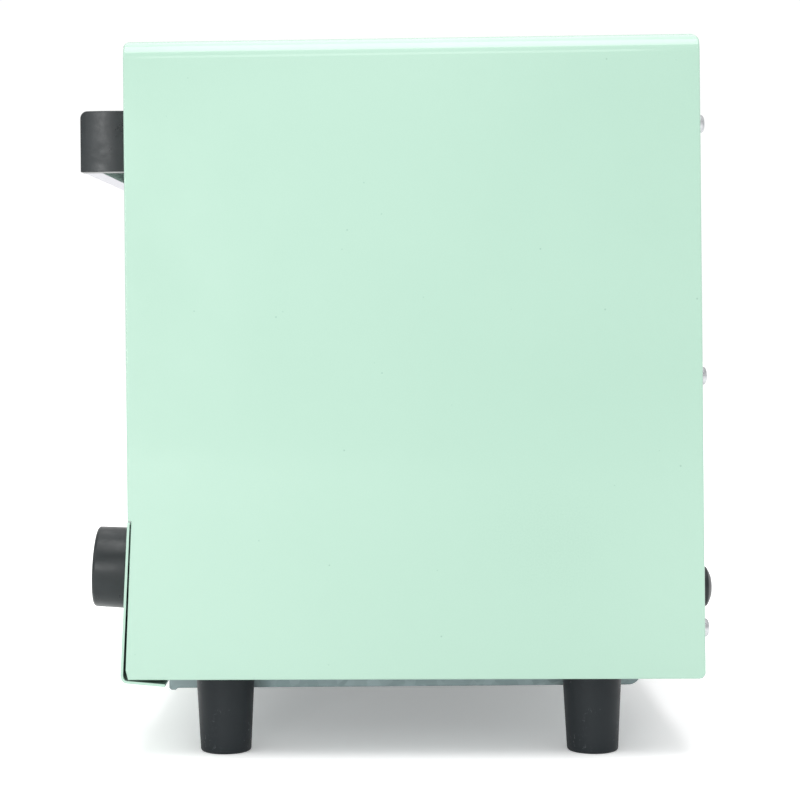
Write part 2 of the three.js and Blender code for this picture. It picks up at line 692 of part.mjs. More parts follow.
function handleScrew() {
  const bearing = DOOR_FACE + STOUT + GAP;
  return turned([
    [0, -8], [2, -8], [2, bearing], [4, bearing], [4, bearing + 1.8], [2.8, bearing + 2.6],
    [0, bearing + 2.6],
  ], 'y', 12);
}

function hingePin() {
  const { radius, start, end } = PIN_HEAD;
  return turned([
    [0, start], [radius, start], [radius, end], [PIN_RADIUS, end], [PIN_RADIUS, PIN_END], [0, PIN_END],
  ], 'x', 12);
}

function hingeBracket() {
  const shape = roundedRect(1.2, FRAME_Y - GAP, HINGE_Z - 6.1, HINGE_Z + 8.5, 2.5);
  const plate = alongX(shape, DOOR_HALF + 0.5, DOOR_HALF + 0.5 + STOUT, 3);
  const hole = rod(PIN_RADIUS + GAP, 'x', DOOR_HALF - 1, HALF, 12).translate(0, HINGE_Y, HINGE_Z);
  return cut(plate, hole);
}

// ---------------------------------------------------------------- rack and trays

function wireRack() {
  const end = RACK_HALF + RACK_ROD;
  const front = RACK_FRONT + RACK_ROD;
  const back = RACK_BACK - RACK_ROD;
  const rimAt = (y) => rod(RACK_ROD, 'x', -end, end, 8).translate(0, y, RACK_Z);
  const runAt = (x, radius, z) => rod(radius, 'y', front, back, 8).translate(x, 0, z);
  const wireTop = RACK_Z + RACK_ROD - RACK_WIRE;
  const wires = [];
  for (let i = 1; i <= RACK_WIRES; i += 1) {
    const x = -RACK_HALF + i * 2 * RACK_HALF / (RACK_WIRES + 1);
    wires.push(runAt(x, RACK_WIRE, wireTop));
  }
  const sides = Object.values(SIDES).map((side) => runAt(side * RACK_HALF, RACK_ROD, RACK_Z));
  return join(rimAt(front), rimAt(back), ...sides, ...wires);
}

function bakingTray() {
  const floor = RACK_Z + RACK_ROD + GAP;
  const rim = floor + TRAY_DEPTH;
  const plan = (grow) => roundedRect(
    -TRAY_HALF - grow, TRAY_HALF + grow, TRAY_FRONT - grow, TRAY_BACK + grow, TRAY_CORNER + grow,
  );
  const pan = alongZ(plan(0), floor, rim, 4);
  const lip = alongZ(plan(TRAY_RIM), rim - SHEET, rim, 4);
  const inside = alongZ(plan(-SHEET), floor + SHEET, rim + OVERSHOOT, 4);
  return cut(join(pan, lip), inside);
}

// Pan under the base: a bead in front to pull it by, a floor that falls to the front, and a back
// that curves up.
function crumbTray() {
  const curveY = CRUMB_BACK - CRUMB_CURVE;
  const curveZ = CRUMB_FLOOR + CRUMB_CURVE;
  const floorFront = CRUMB_FLOOR - CRUMB_FALL;
  const beadBottom = floorFront - CRUMB_BEAD.drop;
  const beadBack = CRUMB_FRONT + CRUMB_BEAD.width;
  const outer = new THREE.Shape();
  outer.moveTo(CRUMB_FRONT, CRUMB_RIM);
  outer.lineTo(CRUMB_FRONT, beadBottom + CRUMB_BEAD.drop);
  outer.lineTo(CRUMB_FRONT + CRUMB_BEAD.drop, beadBottom);
  outer.lineTo(beadBack - CRUMB_BEAD.drop, beadBottom);
  outer.lineTo(beadBack, floorFront);
  outer.lineTo(curveY, CRUMB_FLOOR);
  outer.absarc(curveY, curveZ, CRUMB_CURVE, -Math.PI / 2, 0, false);
  outer.lineTo(CRUMB_BACK, CRUMB_RIM);
  const inner = new THREE.Shape();
  inner.moveTo(CRUMB_FRONT + SHEET, CRUMB_RIM + OVERSHOOT);
  inner.lineTo(CRUMB_FRONT + SHEET, floorFront + SHEET);
  inner.lineTo(curveY, CRUMB_FLOOR + SHEET);
  inner.absarc(curveY, curveZ, CRUMB_CURVE - SHEET, -Math.PI / 2, 0, false);
  inner.lineTo(CRUMB_BACK - SHEET, CRUMB_RIM + OVERSHOOT);
  const pan = alongX(outer, -CRUMB_HALF, CRUMB_HALF, 5);
  const hollow = alongX(inner, -CRUMB_HALF + SHEET, CRUMB_HALF - SHEET, 5);
  const runner = block(
    -CRUMB_RUNNER, CRUMB_RUNNER, CRUMB_FRONT + 9, CRUMB_BACK - 3, CRUMB_RIM - SHEET, CRUMB_RIM,
  );
  return cut(join(pan, runner), hollow);
}

// ---------------------------------------------------------------- assembly

const oven = new THREE.Group();
oven.position.y = (HANDLE_REACH - DEPTH - GLAND_REACH) / 2;
oven.position.z = -SOLE;

function place(parent, name, geometry, material, x = 0, y = 0, z = 0) {
  const mesh = new THREE.Mesh(closed(geometry), material);
  mesh.name = name;
  mesh.position.set(x, y, z);
  parent.add(mesh);
}

// Everything that stands square to the slanted control panel at one place along it.
function panelGroup(x) {
  const group = new THREE.Group();
  group.position.set(x, panelFace(KNOB_Z), KNOB_Z);
  group.rotation.x = -PANEL_TILT;
  oven.add(group);
  return group;
}

place(oven, 'outer_wrapper', outerWrapper(), steelPaint());
place(oven, 'base_pan', basePan(), galvanised());
place(oven, 'rear_panel', rearPanel(), galvanised());
place(oven, 'front_frame', frontFrame(), galvanised());
place(oven, 'control_panel', controlPanel(), steelPaint());
place(oven, 'liner_roof', linerRoof(), galvanised());
place(oven, 'liner_back', linerBack(), galvanised());
place(oven, 'heat_shield', heatShield(), galvanised());

for (const [name, side] of Object.entries(SIDES)) {
  place(oven, `liner_${name}`, linerSide(side), galvanised());
  place(oven, `rack_rail_${name}`, rackRail(side), galvanised());
  place(oven, `tray_guide_${name}`, trayGuide(side), galvanised());
  const bracket = hingeBracket();
  place(oven, `hinge_bracket_${name}`, side > 0 ? bracket : bracket.scale(-1, 1, 1), zincScrew());
}

for (const { name, x, y } of footPlaces()) {
  place(oven, `foot_${name}`, foot(), footRubber(), x, y, 0);
  place(oven, `foot_screw_${name}`, footScrew(), zincScrew(), x, y, 0);
}

for (const { name, x, z } of rearScrewPlaces()) {
  place(oven, `rear_screw_${name}`, rearScrew(), zincScrew(), x, DEPTH, z);
}

place(oven, 'cord_gland', cordGland(), blackPlastic(), GLAND_X, 0, GLAND_Z);
place(oven, 'terminal_block', block(
  TERMINALS.near, TERMINALS.far, TERMINALS.front, DEPTH - SHEET - GAP, TERMINALS.bottom, TERMINALS.top,
), palePlastic());

for (const { name, y, z } of heaterPlaces()) {
  place(oven, `heater_${name}`, heater(), heaterTube(), 0, y, z);
}

const temperatureSide = panelGroup(-KNOB_X);
place(temperatureSide, 'thermostat', thermostat(), palePlastic());
place(temperatureSide, 'thermostat_shaft', controlShaft(), zincScrew());
place(temperatureSide, 'temperature_knob', knob(), blackPlastic());

const timerSide = panelGroup(KNOB_X);
place(timerSide, 'timer', timer(), palePlastic());
place(timerSide, 'timer_shaft', controlShaft(), zincScrew());
place(timerSide, 'timer_knob', knob(), blackPlastic());

place(panelGroup(0), 'indicator_lens', indicatorLens(), amberLens());

place(oven, 'lead_supply', lead([
  [88.4, 217.6, 62], [110, 217.6, 62], [132, 218, 61], [SIDE_PASSAGE, 210, 59], [SIDE_PASSAGE, 150, 54],
  [SIDE_PASSAGE, 75, 58], [139, LEAD_HOLE.y + 2, LEAD_HOLE.z], [LINER_HALF - 2, LEAD_HOLE.y, LEAD_HOLE.z],
  [124, 34, 68], [KNOB_X + 12, 29.8, 72],
]), leadSleeve());
place(oven, 'lead_timer_to_thermostat', lead([
  [KNOB_X - 20.4, 14, 72], [KNOB_X - 28, 14.5, 71.5], [30, 26, 56], [-30, 26, 56],
  [-KNOB_X + 24, 14.5, 71.5], [-KNOB_X + 16.4, 14, 72],
]), leadSleeve());
place(oven, 'lead_thermostat_to_heaters', lead([
  [-KNOB_X - 16.4, 14, 72], [-KNOB_X - 21, 14, 71.8], [-LINER_HALF + 6, 36, LEAD_HOLE.z + 1],
  [-LINER_HALF - 0.4, LEAD_HOLE.y, LEAD_HOLE.z], [-SIDE_PASSAGE, LEAD_HOLE.y + 8, LEAD_HOLE.z + 8],
  [-SIDE_PASSAGE, HEATER_DEPTHS.front, 100],
  [-SIDE_PASSAGE, HEATER_DEPTHS.front, HEATER_HEIGHTS.lower - HEATER_LEAD],
]), leadSleeve());

place(oven, 'lead_between_heaters', lead([
  [-SIDE_PASSAGE, HEATER_DEPTHS.front, HEATER_HEIGHTS.lower + HEATER_LEAD],
  [-SIDE_PASSAGE, HEATER_DEPTHS.front, HEATER_HEIGHTS.upper - HEATER_LEAD],
]), leadSleeve());

place(oven, 'door_frame', doorFrame(), steelPaint());
place(oven, 'door_glass', doorGlass(), smokedGlass());
place(oven, 'glass_retainer', glassRetainer(), galvanised());
place(oven, 'handle_bar', handleBar(), satinSteel());

for (const [name, side] of Object.entries(SIDES)) {
  place(oven, `handle_post_${name}`, handlePost(side), blackPlastic());
  place(oven, `handle_screw_${name}`, handleScrew(), zincScrew(), side * HANDLE_SCREW_X, 0, HANDLE_SCREW_Z);
  const pin = hingePin();
  place(oven, `hinge_pin_${name}`, side > 0 ? pin : pin.scale(-1, 1, 1), zincScrew(), 0, HINGE_Y, HINGE_Z);
}

place(oven, 'wire_rack', wireRack(), chromeWire());
place(oven, 'baking_tray', bakingTray(), trayEnamel());
place(oven, 'crumb_tray', crumbTray(), galvanised());

const countertopOven = new THREE.Group();
countertopOven.add(oven);

export default countertopOven;
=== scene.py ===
import json
import math

import bmesh
import bpy
from mathutils import Matrix, Vector


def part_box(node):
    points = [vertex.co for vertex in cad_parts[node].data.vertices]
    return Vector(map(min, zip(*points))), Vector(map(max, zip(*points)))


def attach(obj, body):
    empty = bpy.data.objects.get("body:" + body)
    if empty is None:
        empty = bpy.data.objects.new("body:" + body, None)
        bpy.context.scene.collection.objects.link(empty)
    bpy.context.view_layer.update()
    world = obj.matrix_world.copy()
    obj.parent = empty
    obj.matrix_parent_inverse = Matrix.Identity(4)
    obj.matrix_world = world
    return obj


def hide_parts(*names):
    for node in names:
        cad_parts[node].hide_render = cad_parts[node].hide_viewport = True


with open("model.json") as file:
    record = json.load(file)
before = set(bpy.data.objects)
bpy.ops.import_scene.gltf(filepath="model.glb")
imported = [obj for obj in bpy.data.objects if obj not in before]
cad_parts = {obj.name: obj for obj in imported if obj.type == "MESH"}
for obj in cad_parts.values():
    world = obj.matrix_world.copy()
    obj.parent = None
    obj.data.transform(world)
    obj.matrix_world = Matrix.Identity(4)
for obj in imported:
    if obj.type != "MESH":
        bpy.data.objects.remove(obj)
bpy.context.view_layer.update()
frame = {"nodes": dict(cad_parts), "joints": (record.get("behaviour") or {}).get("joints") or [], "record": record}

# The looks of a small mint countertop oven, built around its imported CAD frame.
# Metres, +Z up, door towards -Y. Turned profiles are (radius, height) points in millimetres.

MM = 0.001
WELD = 1e-6
BODY_OF = {node: body for body, nodes in frame["record"]["behaviour"]["bodies"].items() for node in nodes}
JOINTS = {joint["name"]: joint for joint in frame["joints"]}


# ------------------------------------------------------------------ finishes

class Finish:
    """A Principled material whose colour, roughness and bump come from object-space textures."""

    def __init__(self, name, metallic=0.0, **sockets):
        self.material = bpy.data.materials.new(name)
        self.material.use_nodes = True
        self.nodes = self.material.node_tree.nodes
        self.links = self.material.node_tree.links
        self.shader = self.nodes["Principled BSDF"]
        self.shader.inputs["Metallic"].default_value = metallic
        for socket, value in sockets.items():
            self.shader.inputs[socket.replace("_", " ")].default_value = value
        self.position = self.nodes.new("ShaderNodeTexCoord").outputs["Object"]

    def stretched(self, x, y, z):
        """Object space scaled along each axis; a small factor draws the texture out along it."""
        mapping = self.nodes.new("ShaderNodeMapping")
        mapping.inputs["Scale"].default_value = (x, y, z)
        self.links.new(self.position, mapping.inputs["Vector"])
        return mapping.outputs["Vector"]

    def noise(self, scale, detail=2.0, vector=None, distortion=0.0):
        node = self.nodes.new("ShaderNodeTexNoise")
        node.inputs["Scale"].default_value = scale
        node.inputs["Detail"].default_value = detail
        node.inputs["Distortion"].default_value = distortion
        self.links.new(vector or self.position, node.inputs["Vector"])
        return node.outputs["Fac"]

    def cells(self, scale, output="Distance"):
        node = self.nodes.new("ShaderNodeTexVoronoi")
        node.inputs["Scale"].default_value = scale
        self.links.new(self.position, node.inputs["Vector"])
        return node.outputs[output]

    def waves(self, scale, vector=None, distortion=0.0, rings=False):
        node = self.nodes.new("ShaderNodeTexWave")
        node.wave_type = "RINGS" if rings else "BANDS"
        if rings:
            node.rings_direction = "Z"
        node.inputs["Scale"].default_value = scale
        node.inputs["Distortion"].default_value = distortion
        self.links.new(vector or self.position, node.inputs["Vector"])
        return node.outputs["Fac"]

    def ramp(self, value, stops):
        node = self.nodes.new("ShaderNodeValToRGB")
        elements = node.color_ramp.elements
        while len(elements) < len(stops):
            elements.new(0.5)
        for element, (place, colour) in zip(elements, stops):
            element.position = place
            element.color = (*colour, 1.0)
        self.links.new(value, node.inputs["Fac"])
        return node.outputs["Color"]

    def colour_stops(self, value, stops):
        self.links.new(self.ramp(value, stops), self.shader.inputs["Base Color"])

    def colour(self, value, low, high, start=0.35, end=0.65):
        self.colour_stops(value, [(start, low), (end, high)])

    def ranged(self, value, low, high, start=0.3, end=0.7):
        node = self.nodes.new("ShaderNodeMapRange")
        node.inputs["From Min"].default_value = start
        node.inputs["From Max"].default_value = end
        node.inputs["To Min"].default_value = low
        node.inputs["To Max"].default_value = high
        self.links.new(value, node.inputs["Value"])
        return node.outputs["Result"]

    def roughness(self, value, low, high, start=0.3, end=0.7):
        self.links.new(self.ranged(value, low, high, start, end), self.shader.inputs["Roughness"])

    def combined(self, first, second, operation="ADD"):
        node = self.nodes.new("ShaderNodeMath")
        node.operation = operation
        self.links.new(first, node.inputs[0])
        self.links.new(second, node.inputs[1])
        return node.outputs["Value"]

    def bump(self, height, depth, strength=1.0):
        node = self.nodes.new("ShaderNodeBump")
        node.inputs["Distance"].default_value = depth
        node.inputs["Strength"].default_value = strength
        self.links.new(height, node.inputs["Height"])
        earlier = self.shader.inputs["Normal"].links
        if earlier:
            self.links.new(earlier[0].from_socket, node.inputs["Normal"])
        self.links.new(node.outputs["Normal"], self.shader.inputs["Normal"])


def mint_paint():
    """Smooth gloss over colour that drifts a little, with a few tiny dark nibs in it."""
    gloss = {"Specular_IOR_Level": 0.4, "Coat_Weight": 0.55, "Coat_IOR": 1.6, "Coat_Roughness": 0.07}
    finish = Finish("mint_paint", **gloss)
    drift = finish.noise(4.5, 2)
    grain = finish.noise(1500, 3)
    nibs = finish.ranged(finish.cells(95), -0.5, 0.0, 0.024, 0.046)
    tone = finish.combined(finish.combined(drift, finish.ranged(grain, -0.05, 0.05)), nibs)
    nib, darker, lighter = (0.205, 0.322, 0.257), (0.269, 0.417, 0.336), (0.291, 0.439, 0.358)
    finish.colour_stops(tone, [(0.0, nib), (0.35, darker), (0.65, lighter)])
    finish.roughness(finish.noise(35, 4), 0.34, 0.46)
    finish.bump(finish.noise(260, 2), 0.00006, 0.35)
    finish.bump(grain, 0.00002, 0.5)
    return finish.material


def black_plastic():
    finish = Finish("black_plastic", Specular_IOR_Level=0.33)
    finish.colour(finish.noise(55, 4), (0.006, 0.009, 0.010), (0.012, 0.016, 0.018))
    finish.roughness(finish.noise(240, 3), 0.27, 0.38)
    finish.bump(finish.noise(1900, 3), 0.00003, 0.35)
    return finish.material


def black_foot():
    """Moulded plastic with fine pale scuffs in patches."""
    finish = Finish("black_foot", Specular_IOR_Level=0.26)
    patch = finish.ranged(finish.noise(70, 3), 0.0, 1.0, 0.50, 0.60)
    specks = finish.ranged(finish.noise(950, 5, finish.stretched(1.0, 1.0, 0.6), 1.0), 0.0, 1.0, 0.56, 0.72)
    scuffs = finish.combined(patch, specks, "MULTIPLY")
    clean, rubbed, scuffed = (0.0065, 0.010, 0.0125), (0.013, 0.017, 0.020), (0.085, 0.092, 0.098)
    finish.colour_stops(scuffs, [(0.0, clean), (0.35, rubbed), (1.0, scuffed)])
    finish.roughness(finish.noise(40, 4), 0.42, 0.6)
    finish.bump(finish.noise(1500, 3), 0.00004, 0.5)
    return finish.material


def galvanised_sheet():
    """Dull zinc with crystals a few millimetres across and fine rolling lines."""
    finish = Finish("galvanised_sheet", metallic=0.85)
    crystals = finish.cells(260, "Color")
    tone = finish.nodes.new("ShaderNodeSeparateColor")
    finish.links.new(crystals, tone.inputs["Color"])
    finish.colour(tone.outputs["Red"], (0.132, 0.176, 0.178), (0.172, 0.218, 0.221), 0.0, 1.0)
    finish.roughness(tone.outputs["Green"], 0.36, 0.48, 0.0, 1.0)
    finish.bump(finish.noise(900, 3, finish.stretched(0.15, 1.0, 1.0)), 0.00002, 0.4)
    return finish.material


def liner_sheet():
    """Zinc sheet that heat has dulled and browned a little in patches."""
    finish = Finish("liner_sheet", metallic=0.75)
    heat = finish.noise(14, 5, None, 0.6)
    finish.colour(heat, (0.30, 0.28, 0.255), (0.50, 0.505, 0.50), 0.3, 0.62)
    finish.roughness(finish.noise(90, 4), 0.38, 0.6)
    finish.bump(finish.noise(900, 3, finish.stretched(0.15, 1.0, 1.0)), 0.00003, 0.4)
    return finish.material


def satin_steel():
    """Steel brushed along X."""
    finish = Finish("satin_steel", metallic=0.92)
    strokes = finish.noise(2600, 4, finish.stretched(0.012, 1.0, 1.0))
    finish.colour(strokes, (0.44, 0.435, 0.475), (0.53, 0.525, 0.565))
    finish.roughness(strokes, 0.3, 0.44)
    finish.bump(strokes, 0.00002, 0.5)
    return finish.material


def zinc_steel():
    """Bright zinc plate with faint turning rings."""
    finish = Finish("zinc_steel", metallic=1.0)
    finish.colour(finish.noise(420, 4), (0.36, 0.37, 0.385), (0.50, 0.51, 0.52))
    finish.roughness(finish.noise(900, 3), 0.22, 0.4)
    finish.bump(finish.waves(900, None, 0.8, True), 0.00002, 0.3)
    return finish.material


def chrome_wire():
    """Bright plate that heat has browned a little."""
    finish = Finish("chrome_wire", metallic=1.0)
    finish.colour(finish.noise(70, 4), (0.60, 0.58, 0.55), (0.82, 0.82, 0.83))
    finish.roughness(finish.noise(160, 4), 0.1, 0.28)
    finish.bump(finish.noise(1200, 2), 0.00001, 0.4)
    return finish.material


def window_glass():
    """Lightly smoked pane with a faint film of smears."""
    finish = Finish("window_glass", Transmission_Weight=0.92, IOR=1.38)
    finish.colour(finish.noise(9, 4, None, 0.8), (0.50, 0.52, 0.525), (0.57, 0.59, 0.595))
    finish.roughness(finish.noise(24, 5, finish.stretched(1.0, 1.0, 0.4), 1.2), 0.0, 0.03, 0.5, 0.8)
    return finish.material


def frosted_quartz():
    """Pale tube with its heating coil showing through as bands."""
    finish = Finish("frosted_quartz", Transmission_Weight=0.25)
    coil = finish.waves(190, finish.stretched(1.0, 0.0, 0.0))
    finish.colour(coil, (0.46, 0.42, 0.38), (0.78, 0.76, 0.72), 0.1, 0.5)
    finish.roughness(finish.noise(300, 3), 0.3, 0.45)
    finish.bump(finish.noise(1300, 2), 0.00002, 0.4)
    return finish.material


def ceramic_end():
    finish = Finish("ceramic_end")
    finish.colour(finish.noise(180, 5), (0.66, 0.64, 0.58), (0.82, 0.80, 0.75))
    finish.roughness(finish.noise(500, 3), 0.5, 0.7)
    finish.bump(finish.noise(1100, 3), 0.00004, 0.6)
    return finish.material


def dark_enamel():
    """Glossy black enamel with fine pale specks."""
    finish = Finish("dark_enamel", Coat_Weight=0.5, Coat_Roughness=0.08)
    finish.colour(finish.cells(820), (0.34, 0.35, 0.36), (0.016, 0.017, 0.019), 0.10, 0.17)
    finish.roughness(finish.noise(60, 4), 0.2, 0.34)
    finish.bump(finish.noise(160, 2), 0.0001, 0.3)
    return finish.material


def pale_plastic():
    finish = Finish("pale_plastic")
    finish.colour(finish.noise(60, 4), (0.66, 0.62, 0.54), (0.74, 0.71, 0.64))
    finish.roughness(finish.noise(300, 3), 0.42, 0.58)
    finish.bump(finish.noise(1300, 3), 0.00004, 0.5)
    return finish.material


def amber_lens():
    """Clear moulded amber with fine rings."""
    finish = Finish("amber_lens", Transmission_Weight=0.6, IOR=1.49)
    finish.colour(finish.waves(420, None, 0.4, True), (0.62, 0.10, 0.015), (0.85, 0.22, 0.03))
    finish.roughness(finish.noise(400, 2), 0.06, 0.14)
    finish.bump(finish.waves(420, None, 0.4, True), 0.0001, 0.5)
    return finish.material


def glass_fibre_sleeve():
    """Braided sleeve on the leads inside."""
    finish = Finish("glass_fibre_sleeve", Sheen_Weight=0.2)
    braid = finish.waves(700, finish.stretched(1.0, 1.0, 1.0), 6.0)
    finish.colour(braid, (0.52, 0.48, 0.38), (0.76, 0.73, 0.64))
    finish.roughness(braid, 0.7, 0.9)
    finish.bump(braid, 0.0002, 0.6)
    return finish.material


def dial_print():
    finish = Finish("dial_print")
    finish.colour(finish.noise(700, 3), (0.030, 0.045, 0.042), (0.055, 0.070, 0.066))
    finish.roughness(finish.noise(900, 2), 0.45, 0.6)
    return finish.material


def pointer_inlay():
    finish = Finish("pointer_inlay")
    finish.colour(finish.noise(500, 3), (0.74, 0.76, 0.74), (0.86, 0.87, 0.85))
    finish.roughness(finish.noise(700, 2), 0.4, 0.55)
    return finish.material


FINISH = {make.__name__: make() for make in (
    mint_paint, black_plastic, black_foot, galvanised_sheet, liner_sheet, satin_steel, zinc_steel,
    chrome_wire, window_glass, frosted_quartz, ceramic_end, dark_enamel, pale_plastic, amber_lens,
    glass_fibre_sleeve, dial_print, pointer_inlay,
)}


# ------------------------------------------------------------------ mesh tools

def piece_from(mesh, name, finishes, sharp_degrees=30):
    """Turns a bmesh into an object: smooth faces, creased where two faces meet at more than the angle."""
    bmesh.ops.recalc_face_normals(mesh, faces=mesh.faces)
    for face in mesh.faces:
        face.smooth = True
    for edge in mesh.edges:
        edge.smooth = len(edge.link_faces) == 2 and edge.calc_face_angle() < math.radians(sharp_degrees)
    data = bpy.data.meshes.new(name)
    mesh.to_mesh(data)
    mesh.free()
    for finish in finishes:
        data.materials.append(FINISH[finish])
    return linked(name, data)


def linked(name, data):
    """A new object in the scene."""
    thing = bpy.data.objects.new(name, data)
    bpy.context.scene.collection.objects.link(thing)
    return thing


def apply_modifiers(piece):
    """Replaces the piece's mesh by what its modifiers make of it."""
    bpy.context.view_layer.update()
    shown = piece.evaluated_get(bpy.context.evaluated_depsgraph_get())
    data = bpy.data.meshes.new_from_object(shown)
    piece.modifiers.clear()
    piece.data = data


def rolled(piece, width, segments=2, sharp_degrees=30, by_weight=False):
    bevel = piece.modifiers.new("rolled_edges", "BEVEL")
    bevel.width = width
    bevel.segments = segments
    bevel.limit_method = "WEIGHT" if by_weight else "ANGLE"
    bevel.angle_limit = math.radians(sharp_degrees)
    bevel.harden_normals = True
    bevel.use_clamp_overlap = not by_weight
    return piece


def stands_for(piece, node):
    """The piece rides with the body of the CAD node it stands for, and the node itself is hidden."""
    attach(piece, BODY_OF[node])
    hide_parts(node)


def refined(node, finish, width=0.2 * MM, segments=2, sharp_degrees=30, share_of=None, reshape=None):
    """The CAD node's own faces, welded and flat ones merged, with rolled edges.

    share_of gives the share of the width that an edge's roll has, and reshape changes the mesh first."""
    mesh = bmesh.new()
    mesh.from_mesh(frame["nodes"][node].data)
    bmesh.ops.remove_doubles(mesh, verts=mesh.verts, dist=WELD)
    bmesh.ops.dissolve_limit(mesh, angle_limit=math.radians(0.4), verts=mesh.verts, edges=mesh.edges)
    if reshape:
        reshape(mesh)
    if share_of:
        weight = mesh.edges.layers.float.new("bevel_weight_edge")
        for edge in mesh.edges:
            if len(edge.link_faces) == 2 and edge.calc_face_angle() > math.radians(sharp_degrees):
                edge[weight] = share_of(edge)
    piece = piece_from(mesh, node + "_finished", [finish], sharp_degrees)
    if width:
        rolled(piece, width, segments, sharp_degrees, bool(share_of))
    stands_for(piece, node)


def lathe(profile, segments=72, finish_of=None):
    """A bmesh turned about Z from [radius, height] points. finish_of gives a band's material index."""
    mesh = bmesh.new()
    rings = []
    for radius, height in profile:
        if radius < WELD:
            rings.append([mesh.verts.new((0, 0, height))])
            continue
        turn = [2 * math.pi * k / segments for k in range(segments)]
        rings.append([mesh.verts.new((radius * math.cos(a), radius * math.sin(a), height)) for a in turn])
    for band, (low, high) in enumerate(zip(rings, rings[1:])):
        for k in range(segments):
            after = k + 1
            lower = [low[k % len(low)], low[after % len(low)]]
            upper = [high[after % len(high)], high[k % len(high)]]
            corners = list(dict.fromkeys(lower + upper))
            if len(corners) > 2:
                face = mesh.faces.new(corners)
                face.material_index = finish_of(band) if finish_of else 0
    return mesh


def rounded(profile, radius_at, steps=5):
    """The profile with the corners named in radius_at {index: radius} turned into arcs."""
    result = []
    for index, point in enumerate(profile):
        radius = radius_at.get(index)
        if not radius:
            result.append(point)
            continue
        corner = Vector(point)
        before = (Vector(profile[index - 1]) - corner).normalized()
        after = (Vector(profile[index + 1]) - corner).normalized()
        half_angle = before.angle(after) / 2
        start = corner + before * radius / math.tan(half_angle)
        end = corner + after * radius / math.tan(half_angle)
        for step in range(steps + 1):
            t = step / steps
            middle = start.lerp(corner, t).lerp(corner.lerp(end, t), t)
            result.append(tuple(middle))
    return result


def scaled(profile, factor=MM):
    return [(a * factor, b * factor) for a, b in profile]


def standing(place, out, up):
    """A matrix whose Z is out and whose Y is as near up as it can be."""
    z = Vector(out).normalized()
    x = Vector(up).cross(z).normalized()
    y = z.cross(x)
    return Matrix.Translation(place) @ Matrix((x, y, z)).transposed().to_4x4()


def nodes_named(start):
    return [node for node in frame["nodes"] if node.startswith(start)]


def middle(node):
    low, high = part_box(node)
    return (low + high) / 2


def box_mesh(low, high):
    mesh = bmesh.new()
    bmesh.ops.create_cube(mesh, size=1)
    size = Vector(high) - Vector(low)
    for vert in mesh.verts:
        vert.co = Vector([vert.co[k] * size[k] + (low[k] + high[k]) / 2 for k in range(3)])
    return mesh


def carve(piece, cutters):
    """Takes each cutter's volume out of the piece."""
    for cutter in cutters:
        cut = piece.modifiers.new("carve", "BOOLEAN")
        cut.operation = "DIFFERENCE"
        cut.solver = "EXACT"
        cut.object = cutter
    apply_modifiers(piece)
    for cutter in cutters:
        bpy.data.objects.remove(cutter)
    for face in piece.data.polygons:
        face.use_smooth = True


def crease(piece, sharp_degrees):
    """Creases a piece again after its mesh was carved."""
    mesh = bmesh.new()
    mesh.from_mesh(piece.data)
    bmesh.ops.remove_doubles(mesh, verts=mesh.verts, dist=WELD)
    for edge in mesh.edges:
        edge.smooth = len(edge.link_faces) == 2 and edge.calc_face_angle() < math.radians(sharp_degrees)
    mesh.to_mesh(piece.data)
    mesh.free()


# ------------------------------------------------------------------ sheet metal and housing

WRAPPER_BEND = 8 * MM
OUTER_ROLL = 0.62 * MM
WRAPPER_SHEET = 0.8 * MM
HEEL_RADIUS = 1.4 * MM      # the CAD's own arc at the lower rear corner
WIDE_HEEL = 2.7 * MM        # what it is opened out to


def skin_share(edge):
    """The whole roll on the wrapper's outer edges, a little of it on the inner ones."""
    low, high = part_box("outer_wrapper")
    near = 0.03 * MM

    def on_skin(point):
        side, top = high.x - abs(point.x), high.z - point.z
        if side < WRAPPER_BEND and top < WRAPPER_BEND:
            return math.hypot(WRAPPER_BEND - side, WRAPPER_BEND - top) > WRAPPER_BEND - near
        return side < near or top < near

    return 1.0 if all(on_skin(vert.co) for vert in edge.verts) else 0.15


def heels_widened(mesh):
    """Opens out the arc at the lower rear corner of each of the wrapper's sides."""
    low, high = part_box("outer_wrapper")
    near = 0.03 * MM
    for vert in mesh.verts:
        back, up = high.y - vert.co.y, vert.co.z - low.z
        on_side = high.x - abs(vert.co.x) < WRAPPER_SHEET + near
        if on_side and max(back, up) < HEEL_RADIUS + near:
            angle = math.atan2(HEEL_RADIUS - up, HEEL_RADIUS - back)
            vert.co.y = high.y - WIDE_HEEL * (1 - math.cos(angle))
            vert.co.z = low.z + WIDE_HEEL * (1 - math.sin(angle))


def sheet_metal():
    refined("outer_wrapper", "mint_paint", OUTER_ROLL, 5, 30, skin_share, heels_widened)
    refined("control_panel", "mint_paint", 0.3 * MM, 3)
    refined("rear_panel", "galvanised_sheet", 0.15 * MM)
    for node in ("base_pan", "crumb_tray", "tray_guide_left", "tray_guide_right"):
        refined(node, "galvanised_sheet", 0.2 * MM)
    for node in ("front_frame", "liner_roof", "liner_back", "liner_left", "liner_right", "heat_shield",
                 "rack_rail_left", "rack_rail_right", "glass_retainer"):
        refined(node, "liner_sheet", 0.15 * MM)
    for node in ("hinge_bracket_left", "hinge_bracket_right"):
        refined(node, "zinc_steel", 0.2 * MM)


FOOT_SCREW_HEAD = 2.8


FOOT_WELL = 4.8
FOOT_TAPER = 1.7


